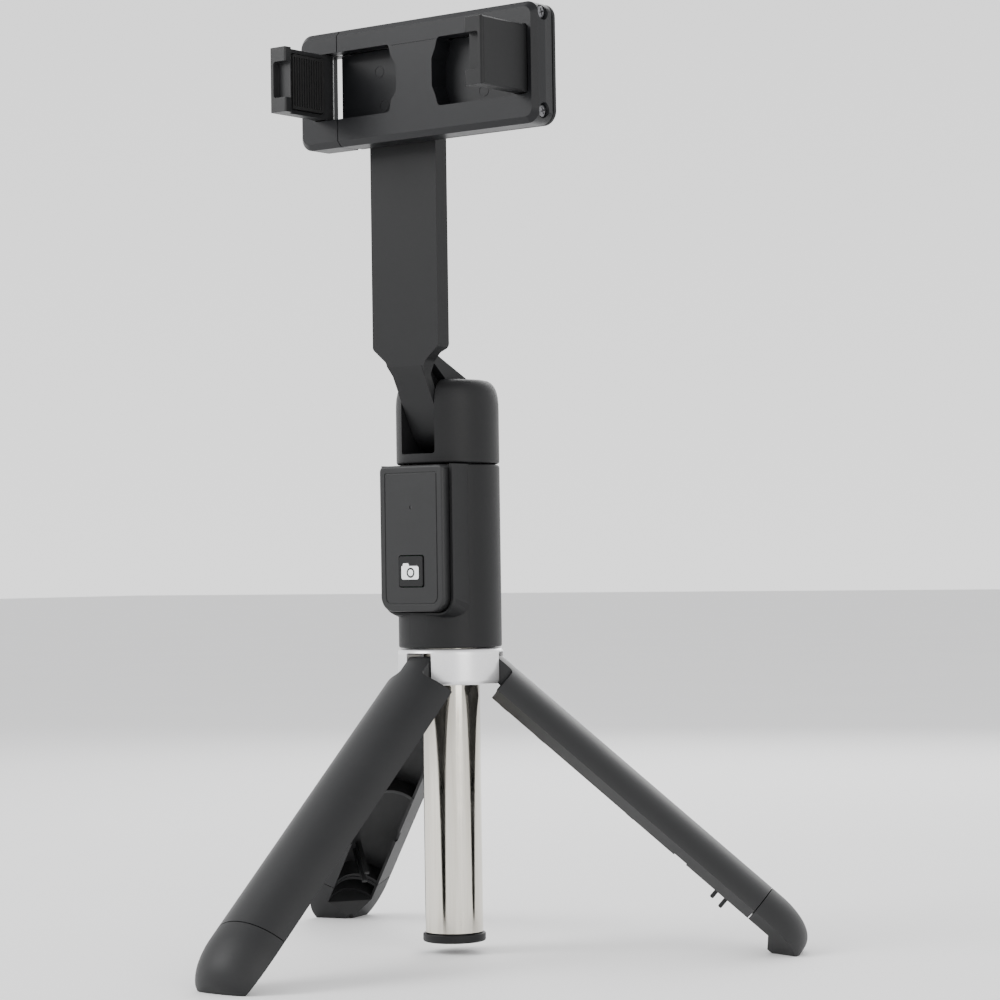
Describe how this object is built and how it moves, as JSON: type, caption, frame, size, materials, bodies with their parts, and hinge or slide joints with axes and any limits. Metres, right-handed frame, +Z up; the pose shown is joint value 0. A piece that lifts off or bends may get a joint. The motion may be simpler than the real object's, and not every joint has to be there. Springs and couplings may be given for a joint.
{
  "type": "selfie stick",
  "caption": "Telescoping selfie stick with tripod legs under the grip, a pull-out remote and a folding arm with a sprung phone clamp.",
  "frame": {"origin": "centre of the box's bottom, on the floor plane of the three feet; the pole's axis is 22.17 mm behind it along +Y", "axes": "+Z up along the pole, -Y the side with the remote and the phone, +X to the right seen from the front"},
  "size_m": [0.1832, 0.1622, 0.27],
  "materials": {
    "dark_plastic": "fine-textured charcoal moulded plastic",
    "slate_plastic": "satin blue-grey moulded plastic",
    "silver_collar": "bright satin silver paint",
    "polished_steel": "polished stainless tube",
    "steel": "plain steel",
    "rubber": "matt black soft rubber",
    "circuit_board": "green solder mask",
    "white_plastic": "natural acetal"
  },
  "bodies": {
    "handle": {"handle_shell": "dark_plastic", "collar_ring": "silver_collar", "tube_outer": "polished_steel", "tube_end_plug": "dark_plastic", "leg_pin_front": "steel", "leg_pin_right": "steel", "leg_pin_left": "steel"},
    "leg_front": {"leg_front": "dark_plastic", "foot_front": "rubber"},
    "leg_right": {"leg_right": "dark_plastic", "foot_right": "rubber"},
    "leg_left": {"leg_left": "dark_plastic", "foot_left": "rubber"},
    "section_1": {"tube_section_1": "polished_steel", "friction_sleeve_1": "dark_plastic"},
    "section_2": {"tube_section_2": "polished_steel", "friction_sleeve_2": "dark_plastic"},
    "section_3": {"tube_section_3": "polished_steel", "friction_sleeve_3": "dark_plastic"},
    "section_4": {"tube_section_4": "polished_steel", "friction_sleeve_4": "dark_plastic"},
    "section_5": {"tube_section_5": "polished_steel", "friction_sleeve_5": "dark_plastic"},
    "head": {"head_fork": "dark_plastic", "arm_hinge_pin": "steel"},
    "arm": {"arm": "dark_plastic", "arm_back_cover": "dark_plastic", "swivel_washer": "white_plastic", "swivel_screw": "steel"},
    "holder": {"holder_frame": "slate_plastic", "holder_back_cover": "dark_plastic", "holder_end_screw_lower": "steel", "holder_end_screw_upper": "steel", "clamp_spring_lower": "steel", "clamp_spring_upper": "steel", "jaw_right_pin": "steel", "swivel_nut": "steel"},
    "carriage": {"carriage": "slate_plastic", "guide_rod_lower": "steel", "guide_rod_upper": "steel", "jaw_left_pin": "steel"},
    "jaw_left": {"jaw_left": "dark_plastic", "jaw_left_pad": "rubber"},
    "jaw_right": {"jaw_right": "dark_plastic", "jaw_right_pad": "rubber"},
    "remote": {"remote_front": "dark_plastic", "remote_back": "dark_plastic", "remote_board": "circuit_board", "remote_switch": "white_plastic", "remote_battery": "steel"},
    "button": {"remote_button": "dark_plastic"}
  },
  "joints": [
    {"name": "leg_front_fold", "type": "hinge", "parent": "handle", "child": "leg_front", "pos_m": [0, 0.0115, 0.0846], "axis": [-1, 0, 0], "range_deg": [-48.9, 0]},
    {"name": "leg_right_fold", "type": "hinge", "parent": "handle", "child": "leg_right", "pos_m": [0.00924, 0.02751, 0.0846], "axis": [0.5, -0.866, 0], "range_deg": [-48.9, 0]},
    {"name": "leg_left_fold", "type": "hinge", "parent": "handle", "child": "leg_left", "pos_m": [-0.00924, 0.02751, 0.0846], "axis": [0.5, 0.866, 0], "range_deg": [-48.9, 0]},
    {"name": "pole_slide_1", "type": "slide", "parent": "handle", "child": "section_1", "axis": [0, 0, 1], "range_m": [0, 0.105]},
    {"name": "pole_slide_2", "type": "slide", "parent": "section_1", "child": "section_2", "axis": [0, 0, 1], "range_m": [0, 0.105]},
    {"name": "pole_slide_3", "type": "slide", "parent": "section_2", "child": "section_3", "axis": [0, 0, 1], "range_m": [0, 0.105]},
    {"name": "pole_slide_4", "type": "slide", "parent": "section_3", "child": "section_4", "axis": [0, 0, 1], "range_m": [0, 0.105]},
    {"name": "pole_slide_5", "type": "slide", "parent": "section_4", "child": "section_5", "axis": [0, 0, 1], "range_m": [0, 0.105]},
    {"name": "head_swivel", "type": "hinge", "parent": "section_5", "child": "head", "pos_m": [0, 0.02217, 0.1433], "axis": [0, 0, 1], "continuous": true},
    {"name": "arm_fold", "type": "hinge", "parent": "head", "child": "arm", "pos_m": [0, 0.02217, 0.1575], "axis": [1, 0, 0], "range_deg": [-150, 30]},
    {"name": "holder_swivel", "type": "hinge", "parent": "arm", "child": "holder", "pos_m": [0, 0.00257, 0.253], "axis": [0, 1, 0], "continuous": true},
    {"name": "clamp_slide", "type": "slide", "parent": "holder", "child": "carriage", "axis": [-1, 0, 0], "range_m": [0, 0.025], "stiffness_N_per_m": 160, "springref_m": -0.03, "deforming": ["clamp_spring_lower", "clamp_spring_upper"]},
    {"name": "jaw_left_fold", "type": "hinge", "parent": "carriage", "child": "jaw_left", "pos_m": [-0.0224, -0.00448, 0.2538], "axis": [0, 0, 1], "range_deg": [0, 90]},
    {"name": "jaw_right_fold", "type": "hinge", "parent": "holder", "child": "jaw_right", "pos_m": [0.0506, -0.00448, 0.2538], "axis": [0, 0, -1], "range_deg": [0, 90]},
    {"name": "remote_pull", "type": "slide", "parent": "handle", "child": "remote", "axis": [0, -1, 0], "range_m": [0, 0.03]},
    {"name": "button_press", "type": "slide", "parent": "remote", "child": "button", "axis": [0, 1, 0], "range_m": [0, 0.0005], "stiffness_N_per_m": 700, "springref_m": -0.001}
  ]
}
